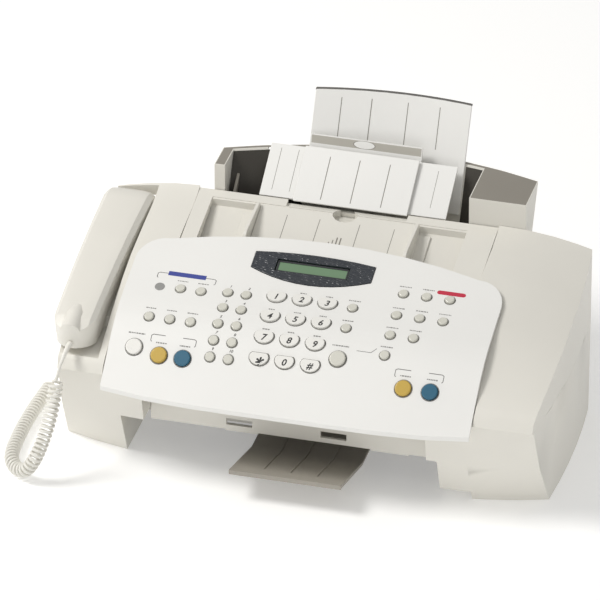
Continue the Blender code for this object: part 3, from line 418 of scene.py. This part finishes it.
def stroke(bm, points, width):
    """A printed line through (x, s) points, in short pieces so that it follows the bend."""
    for (x0, s0), (x1, s1) in zip(points, points[1:]):
        length = math.hypot(x1 - x0, s1 - s0)
        nx, ns = -(s1 - s0) / length * width / 2, (x1 - x0) / length * width / 2
        count = max(1, math.ceil(length / STROKE_PIECE))
        for k in range(count):
            a, b = k / count, (k + 1) / count
            xa, sa = x0 + (x1 - x0) * a, s0 + (s1 - s0) * a
            xb, sb = x0 + (x1 - x0) * b, s0 + (s1 - s0) * b
            panel_slab(bm, [(xa - nx, sa - ns), (xb - nx, sb - ns), (xb + nx, sb + ns), (xa + nx, sa + ns)])


TEXT_THICK = 0.12
TEXT_SLANT = 0.2
TEXT_WEIGHT = 0.022


def text_piece(name, words, size, x, s, t, body, material):
    """A slanted sign on the panel or on a key, centred over (x, s) and t above the panel's face."""
    curve = bpy.data.curves.new(name, "FONT")
    curve.body = words
    curve.size = size
    curve.align_x = "CENTER"
    curve.align_y = "CENTER"
    curve.shear = TEXT_SLANT
    curve.extrude = TEXT_THICK / 2
    curve.resolution_u = 3
    curve.offset = size * TEXT_WEIGHT
    mesh = mesh_of(curve)
    point, slope = panel_point(x, s, t)
    mesh.transform(TO_ROW @ Matrix.Translation(point) @ Matrix.Rotation(slope, 4, "X"))
    mesh.name = name
    mesh.materials.append(material)
    obj = bpy.data.objects.new(name, mesh)
    bpy.context.scene.collection.objects.link(obj)
    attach(obj, body)
    return obj


# Key centres are (x, s): across the machine, and along the panel's profile from the top of its bend.
PAD_COLUMNS = (-34.6, -13.1, 8.6)
PAD_ROWS = (15.4, -6.2, -27.0, -46.4)
PAD_NAMES = (("1", "2", "3"), ("4", "5", "6"), ("7", "8", "9"), ("star", "0", "hash"))
PAD_SIGNS = {"star": "*", "hash": "#"}
ONE_TOUCH = [(x, s) for s in (13.4, -3.2, -19.8, -35.4, -50.2) for x in (-75.2, -59.6)]
SMALL_KEYS = {
    "left_key_group": [(-114.9, 10.6), (-97.4, 10.6), (-133.2, -22.0), (-115.6, -22.0), (-98.0, -22.0)],
    "function_key_group": [(30.2, 15.3), (30.2, -7.0)]
    + [(x, s) for s in (38.0, 14.0) for x in (67.6, 87.2, 106.8)]
    + [(67.6, -7.8), (87.2, -7.8), (67.6, -27.8)],
}
ROUND_KEYS = [(-139.6, -50.5), (30.0, -36.6)]
START_KEYS = [(-117.6, -54.8), (-97.6, -54.8), (88.6, -54.0), (111.0, -54.0)]
DIGIT_SIZE = 8.0
STAR_SIZE = 15.0
MARK_SIZE = 3.4


def add_key_digits():
    for s, names in zip(PAD_ROWS, PAD_NAMES):
        for x, label in zip(PAD_COLUMNS, names):
            sign = PAD_SIGNS.get(label, label)
            size, drop = (STAR_SIZE, -5.0) if sign == "*" else (DIGIT_SIZE, -0.5)
            text_piece("digit_" + label, sign, size, x, s + drop, KEY_TOP, "digit_key_" + label, DARK_INK)
    for number, (x, s) in enumerate(ONE_TOUCH, 1):
        text_piece(f"one_touch_mark_{number}", str(number), MARK_SIZE, x + 0.8, s + 7.2, 0.0,
                   "control_panel", INK)


RED_LABEL_KEY = (106.8, 38.0)
BLUE_LABEL = (-129.0, -97.0, 23.6, 28.2)
RED_LABEL = (96.5, 116.5, 45.2, 2.1)
DASH_GAP = 0.45
BRACKET_WIDTH = 0.55
LEADER_WIDTH = 0.4


def bracket(bm, x0, x1, s, drop, gap):
    """A printed bracket over a row of keys, open in the middle."""
    middle = (x0 + x1) / 2
    foot = s - drop
    left = [(x0 + 1.0, foot), (x0, foot + 1.0), (x0, s - 1.0), (x0 + 1.5, s), (middle - gap / 2, s)]
    right = [(middle + gap / 2, s), (x1 - 1.5, s), (x1, s - 1.0), (x1, foot + 1.0), (x1 - 1.0, foot)]
    stroke(bm, left, BRACKET_WIDTH)
    stroke(bm, right, BRACKET_WIDTH)


def dashes():
    """(x0, x1, s) of each printed dash by a key."""
    marks = []
    for x, s in SMALL_KEYS["left_key_group"]:
        marks.append((x - 4.5, x + 4.5, s + 8.4))
    for x, s in SMALL_KEYS["function_key_group"]:
        if (x, s) != RED_LABEL_KEY:
            marks.append((x - 5.0, x + 5.0, s + 8.0))
    for x, s in ROUND_KEYS:
        marks.append((x - 7.0, x + 7.0, s + 12.0))
    for x, s in START_KEYS:
        marks.append((x - 4.5, x + 4.5, s + 10.6))
    for s in PAD_ROWS[1:3]:
        marks += [(x - 3.0, x + 3.0, s + 8.3) for x in PAD_COLUMNS]
    marks += [(x - 3.0, x + 3.0, PAD_ROWS[0] + 8.3) for x in PAD_COLUMNS[1:]]
    return marks


def add_brackets():
    bm = bmesh.new()
    bracket(bm, -137.5, -88.0, 25.6, 6.0, 2.0)
    bracket(bm, -127.0, -89.0, -37.4, 6.5, 15.0)
    bracket(bm, 79.5, 120.0, -38.0, 7.0, 15.0)
    stroke(bm, [(44.0, -27.0), (56.0, -27.0), (60.0, -22.5)], LEADER_WIDTH)
    finished(bm, "panel_marks", INK, "control_panel")


def add_label_marks():
    """Each dash by a key, broken up like small print."""
    bm = bmesh.new()
    pick = random.Random(7)
    for x0, x1, s in dashes():
        x = x0
        while x < x1 - 0.5:
            length = pick.uniform(0.7, 2.2)
            stroke(bm, [(x, s), (min(x + length, x1), s)], pick.uniform(0.8, 1.2))
            x += length + DASH_GAP
    finished(bm, "label_marks", LABEL_INK, "control_panel")


def add_colour_labels():
    """The blue bar at the left bracket and the red pill over the key at the far right."""
    bm = bmesh.new()
    x0, x1, s0, s1 = BLUE_LABEL
    panel_slab(bm, [(x0, s0), (x1, s0), (x1, s1), (x0, s1)], high=LABEL_PROUD)
    finished(bm, "blue_label", BLUE_INK, "control_panel")
    bm = bmesh.new()
    x0, x1, s, radius = RED_LABEL
    round_end = [(math.cos(a), math.sin(a)) for a in [math.radians(90 + 22.5 * k) for k in range(9)]]
    pill = [(x0 + radius * c, s + radius * d) for c, d in round_end]
    pill += [(x1 - radius * c, s - radius * d) for c, d in round_end]
    panel_slab(bm, pill, high=LABEL_PROUD)
    finished(bm, "red_label", RED_INK, "control_panel")


SURROUND_PROUD = 0.04


def outline_ring(bm, inner, outer):
    """A flat raised frame between two (x, s) outlines with the same count of points."""
    loops = []
    for outline, t in ((outer, SUNK), (outer, SURROUND_PROUD), (inner, SURROUND_PROUD), (inner, SUNK)):
        loops.append([bm.verts.new(place(panel_point(x, s, t)[0])) for x, s in outline])
    for low, high in zip(loops, loops[1:] + loops[:1]):
        bridge(bm, low, high)


def round_outline(x, s, radius, count=28):
    turns = [2 * math.pi * k / count for k in range(count)]
    return [(x + radius * math.cos(a), s + radius * math.sin(a)) for a in turns]


def moon_outline(x, s, grow):
    """A keypad key's outline: a flat upper edge over a round lower edge."""
    half, tall = 8.0 + grow, 5.2 + grow
    turns = [math.pi + math.pi * i / 16 for i in range(17)]
    points = [(half * math.cos(a), tall * (0.35 + 1.35 * math.sin(a))) for a in turns]
    shoulder = tall * 0.75
    points += [(half - 0.6, shoulder), (half - 2.2, tall), (-half + 2.2, tall), (-half + 0.6, shoulder)]
    return [(x + a, s + b) for a, b in points]


def add_key_surrounds():
    """The thin dark line of painted shade around each key's hole, set a little down and to the right where
    the gap round the key lies in shadow.
    """
    bm = bmesh.new()
    for spots in list(SMALL_KEYS.values()) + [ONE_TOUCH]:
        for x, s in spots:
            outline_ring(bm, round_outline(x, s, 4.42), round_outline(x + 0.1, s - 0.14, 4.9))
    for x, s in ROUND_KEYS + START_KEYS:
        outline_ring(bm, round_outline(x, s, 7.22), round_outline(x + 0.15, s - 0.2, 7.85))
    for s in PAD_ROWS:
        for x in PAD_COLUMNS:
            outline_ring(bm, moon_outline(x, s, 0.42), moon_outline(x + 0.12, s - 0.12, 0.95))
    finished(bm, "key_surrounds", SHADE, "control_panel")


def add_indicator():
    bm = bmesh.new()
    panel_slab(bm, round_outline(-132.4, 10.0, 4.2), -0.2, 0.35)
    lens = finished(bm, "indicator_lens", LENS, "control_panel")
    soften(lens, 0.25)


DISPLAY_WINDOW = (-43.0, 17.4, 45.0, 56.7)


def add_display_surround():
    """The dark frame inside the display window."""
    bm = bmesh.new()
    x0, x1, s0, s1 = DISPLAY_WINDOW
    sides = ((x0, x1, s0, s0 + 0.9), (x0, x1, s1 - 1.7, s1), (x0, x0 + 1.6, s0, s1), (x1 - 1.2, x1, s0, s1))
    for a, b, c, d in sides:
        panel_slab(bm, [(a, c), (b, c), (b, d), (a, d)], -0.9, -0.45)
    finished(bm, "display_surround", DARK, "control_panel")


# ---------------------------------------------------------------- moulded lines on the sheets and the deck in painted shade, and painted shade on the bar, the bin and the feeder

# A sheet is (y, z, slope): one point on its face, and how fast the face rises towards the rear.
DECK_PATH = (140.0, 158.2, 0.345)
SUPPORT = (152.0, 160.6, 27.0 / 41.0)
LEAF = (148.6, 162.32, 28.8 / 43.0)
BAR_FACE = (194.6, 191.0, 7.6 / 2.6)
LEAN = math.tan(math.radians(27.0))
RIM_Z = 185.0


def rear_rim(x):
    """The y of the feeder's curved rear rim."""
    return 212.0 - 0.00147 * (x - 30.0) ** 2


def on_sheet(x, y, plane, t):
    """The point over (x, y) on a sloping sheet, t above its face."""
    y0, z0, slope = plane
    size = math.hypot(1.0, slope)
    return Vector((x, y - t * slope / size, z0 + (y - y0) * slope + t / size))


def sheet_slab(bm, outline, plane, low=SUNK, high=PROUD):
    """A thin solid over an (x, y) outline on a sloping sheet, from low to high above its face."""
    prism(bm, [place(on_sheet(x, y, plane, low)) for x, y in outline],
          [place(on_sheet(x, y, plane, high)) for x, y in outline])


def sheet_lines(bm, xs, y0, y1, plane, width):
    """Lines up a sloping sheet, one at each x."""
    half = width / 2
    for x in xs:
        sheet_slab(bm, [(x - half, y0), (x + half, y0), (x + half, y1), (x - half, y1)], plane)


def add_deck_lines():
    """Painted shade lines for the long ribs of the paper path and the row of short marks by the left guide.
    """
    bm = bmesh.new()
    sheet_lines(bm, (-52.4, -24.4, 9.8, 39.4), 97.0, 133.0, DECK_PATH, 0.55)
    for k, length in enumerate((3.0, 5.5, 8.0, 11.0, 11.0)):
        x = -14.5 + 3.1 * k
        sheet_lines(bm, (x,), 106.0, 106.0 + length, DECK_PATH, 0.8 if k < 3 else 1.1)
    finished(bm, "deck_lines", GROOVE_SHADE, "scan_unit")


def add_support_lines():
    bm = bmesh.new()
    # painted shade lines for the grooves of the document support and of its leaf
    sheet_lines(bm, (-72.5, -57.5), 157.0, 190.0, SUPPORT, 0.4)
    sheet_lines(bm, (63.0,), 159.0, 188.0, SUPPORT, 0.4)
    finished(bm, "support_lines", GROOVE_SHADE, "document_support")
    bm = bmesh.new()
    sheet_lines(bm, (-29.0, -3.5, 22.5), 151.0, 184.5, LEAF, 0.7)
    finished(bm, "leaf_lines", GROOVE_SHADE, "support_leaf")


def add_bar_notch():
    """A strip of painted shade along the raised bar, and the rim and floor of its thumb notch; the rim is
    painted shade in the notch's hollow.
    """
    bm = bmesh.new()
    sheet_slab(bm, [(-48.4, 194.85), (45.9, 194.85), (45.9, 197.0), (-48.4, 197.0)], BAR_FACE)
    finished(bm, "bar_painted_shade", BAR_SHADE, "document_support")
    turns = [2 * math.pi * k / 28 for k in range(28)]
    layers = (("bar_notch_rim", GROOVE_SHADE, 9.6, 1.12, -0.15, 0.1),
              ("bar_notch_floor", PANEL, 8.9, 1.03, -0.1, 0.16))
    for name, material, wide, tall, low, high in layers:
        bm = bmesh.new()
        outline = [(-3.0 + wide * math.cos(a), 195.95 + tall * math.sin(a)) for a in turns]
        sheet_slab(bm, outline, BAR_FACE, low, high)
        finished(bm, name, material, "document_support")


SUPPORT_TOP = 230.4


def add_paper_support_trim():
    """The dark upper edge of the paper support, and the lines of painted groove shade down its face."""
    bm = bmesh.new()
    lean = (SUPPORT_TOP - RIM_Z) * LEAN
    low, high = SUPPORT_TOP - 1.1, SUPPORT_TOP + 0.1
    rings = []
    for k in range(17):
        x = -50.7 + 132.8 * k / 16
        back = rear_rim(x) - 5.0 + lean
        corners = ((x, back - 2.75, low), (x, back - 2.7, high), (x, back + 0.05, high), (x, back - 0.4, low))
        rings.append([place(p) for p in corners])
    skin(bm, rings)
    finished(bm, "paper_support_edge", EDGE, "paper_support")
    bm = bmesh.new()
    for x in (-28.5, -3.4, 27.4, 55.0):
        ends = []
        for t in (0.1, -0.22):
            ring = []
            for dx, z in ((-0.3, 193.0), (0.3, 193.0), (0.3, 224.5), (-0.3, 224.5)):
                face = rear_rim(x + dx) - 7.6 + (z - RIM_Z) * LEAN
                ring.append(place((x + dx, face + t, z)))
            ends.append(ring)
        prism(bm, *ends)
    finished(bm, "paper_support_lines", GROOVE_SHADE, "paper_support")


def add_feeder_caps():
    """Darker caps of painted shade on the feeder's flat top, beside the bin and along its rear rim, where the
    top faces turn away from the light.
    """
    bm = bmesh.new()
    low, high = RIM_Z - 0.1, RIM_Z + 0.12
    for x0, x1, near in ((-119.2, -111.8, 151.2), (99.1, 146.2, 151.2), (-111.8, 99.1, None)):
        rings = []
        for k in range(15):
            x = x0 + (x1 - x0) * k / 14
            back = rear_rim(x) - 0.9
            front = near if near else rear_rim(x) - 3.7
            corners = ((x, front, low), (x, front, high), (x, back, high), (x, back, low))
            rings.append([place(p) for p in corners])
        skin(bm, rings)
    finished(bm, "feeder_top_painted_shade", FEEDER_TOP_SHADE, "machine")


def add_bin_lining():
    """Dark sheets of painted shade on the rear wall of the paper bin, on both sides of the paper support,
    where the deep bin lies in shadow.
    """
    for name, x0, x1 in (("bin_shade_sheet_left", -110.7, -51.6), ("bin_shade_sheet_right", 83.0, 98.0)):
        bm = bmesh.new()
        rings = []
        for k in range(9):
            x = x0 + (x1 - x0) * k / 8
            wall = rear_rim(x) - 4.5
            corners = ((0.2, 112.0), (0.9, 112.0), (0.9, 183.6), (0.2, 183.6))
            rings.append([place((x, wall - t + (z - RIM_Z) * LEAN, z)) for t, z in corners])
        skin(bm, rings)
        finished(bm, name, BIN_SHADE, "machine")


# ---------------------------------------------------------------- cord

WIRE = 2.5
COIL_OUTER = 12.6
PITCH = 4.3
LEAD_ROUTE = [(-191.0, -37.6, 109.5), (-191.8, -48.0, 107.5), (-193.8, -57.0, 99.5), (-195.5, -61.4, 91.0)]
COIL_ROUTE = [
    (-195.8, -62.2, 88.8), (-196.5, -67.0, 76.0), (-198.0, -74.5, 60.0), (-202.0, -81.5, 42.0),
    (-208.0, -85.5, 25.0), (-216.0, -84.5, 12.0), (-226.0, -77.5, 6.8), (-234.5, -65.0, 6.7),
    (-238.5, -45.0, 6.7), (-240.0, -10.0, 6.7), (-239.0, 25.0, 6.7), (-236.5, 56.0, 6.7),
]
BASE_LEAD_ROUTE = [
    (-236.3, 58.6, 6.6), (-235.0, 70.0, 6.6), (-230.0, 84.0, 9.0), (-222.0, 94.5, 15.0), (-216.6, 98.3, 19.0),
]
ROUTE_STEP = 0.25


def smooth_path(route, spacing):
    """Points along a smooth curve through the route's points."""
    points = [Vector(p) for p in route]
    ends = [points[0] * 2 - points[1]] + points + [points[-1] * 2 - points[-2]]
    path = []
    for k in range(len(points) - 1):
        p0, p1, p2, p3 = ends[k:k + 4]
        count = max(2, round((p2 - p1).length / spacing))
        for i in range(count):
            t = i / count
            a = 2 * p1 + (p2 - p0) * t
            b = (2 * p0 - 5 * p1 + 4 * p2 - p3) * t * t
            c = (3 * p1 - p0 - 3 * p2 + p3) * t * t * t
            path.append((a + b + c) / 2)
    return path + [points[-1]]


def helix_path(lead_in, coil, lead_out):
    """One line: straight lead, coil, straight lead. The coil's radius grows and fades over its end turns."""
    whole = smooth_path(lead_in + coil + lead_out, ROUTE_STEP)
    reach = [0.0]
    for a, b in zip(whole, whole[1:]):
        reach.append(reach[-1] + (b - a).length)
    begin = min(range(len(whole)), key=lambda i: (whole[i] - Vector(coil[0])).length)
    end = min(range(len(whole)), key=lambda i: (whole[i] - Vector(coil[-1])).length)
    radius = (COIL_OUTER - WIRE) / 2
    across = Vector((1.0, 0.0, 0.0))
    line = []
    for i, point in enumerate(whole):
        ahead = whole[min(i + 1, len(whole) - 1)] - whole[max(i - 1, 0)]
        ahead.normalize()
        across = (across - ahead * across.dot(ahead)).normalized()
        over = ahead.cross(across)
        into = reach[i] - reach[begin]
        left = reach[end] - reach[i]
        grow = min(max(min(into, left) / PITCH, 0.0), 1.0)
        grow = grow * grow * (3 - 2 * grow)
        angle = 2 * math.pi * into / PITCH
        line.append(point + radius * grow * (math.cos(angle) * across + math.sin(angle) * over))
    return line


def add_cord():
    """The whole cord as one tube, which stretches between the machine and the handset."""
    line = [place(p) for p in helix_path(LEAD_ROUTE, COIL_ROUTE, BASE_LEAD_ROUTE)]
    curve = bpy.data.curves.new("cord_line", "CURVE")
    curve.dimensions = "3D"
    curve.bevel_depth = WIRE / 2 * MM
    curve.bevel_resolution = 2
    curve.use_fill_caps = True
    spline = curve.splines.new("POLY")
    spline.points.add(len(line) - 1)
    for point, spot in zip(spline.points, line):
        point.co = (*spot, 1.0)
    mesh = mesh_of(curve)
    mesh.materials.append(CORD)
    mesh.shade_smooth()
    obj = bpy.data.objects.new("curly_handset_cord", mesh)
    bpy.context.scene.collection.objects.link(obj)
    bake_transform(obj)
    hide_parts("handset_lead", "curly_cord", "base_lead")
    relief = add_relief()


RELIEF_RADIUS = 2.3
RELIEF_TAPER = 0.045
RELIEF_RIB = 0.18


def add_relief():
    """The ribbed sleeve where the cord leaves the handset."""
    path = smooth_path(LEAD_ROUTE[:3], 1.0)
    bm = bmesh.new()
    turns = [2 * math.pi * k / 14 for k in range(14)]
    rings = []
    reach = 0.0
    for i, point in enumerate(path):
        ahead = (path[min(i + 1, len(path) - 1)] - path[max(i - 1, 0)]).normalized()
        side = ahead.cross(Vector((1.0, 0.0, 0.0))).normalized()
        over = ahead.cross(side)
        reach += (path[i] - path[i - 1]).length if i else 0.0
        radius = RELIEF_RADIUS - RELIEF_TAPER * reach + (RELIEF_RIB if i % 2 else 0.0)
        rings.append([place(point + radius * (math.cos(a) * side + math.sin(a) * over)) for a in turns])
    skin(bm, rings)
    return finished(bm, "cord_relief", CORD, "handset")


# ---------------------------------------------------------------- build

add_camera()
add_cord()
add_studio()
dress_nodes()
add_key_digits()
add_key_surrounds()
add_brackets()
add_label_marks()
add_colour_labels()
add_indicator()
add_display_surround()
add_deck_lines()
add_support_lines()
add_bar_notch()
add_paper_support_trim()
add_bin_lining()
add_feeder_caps()
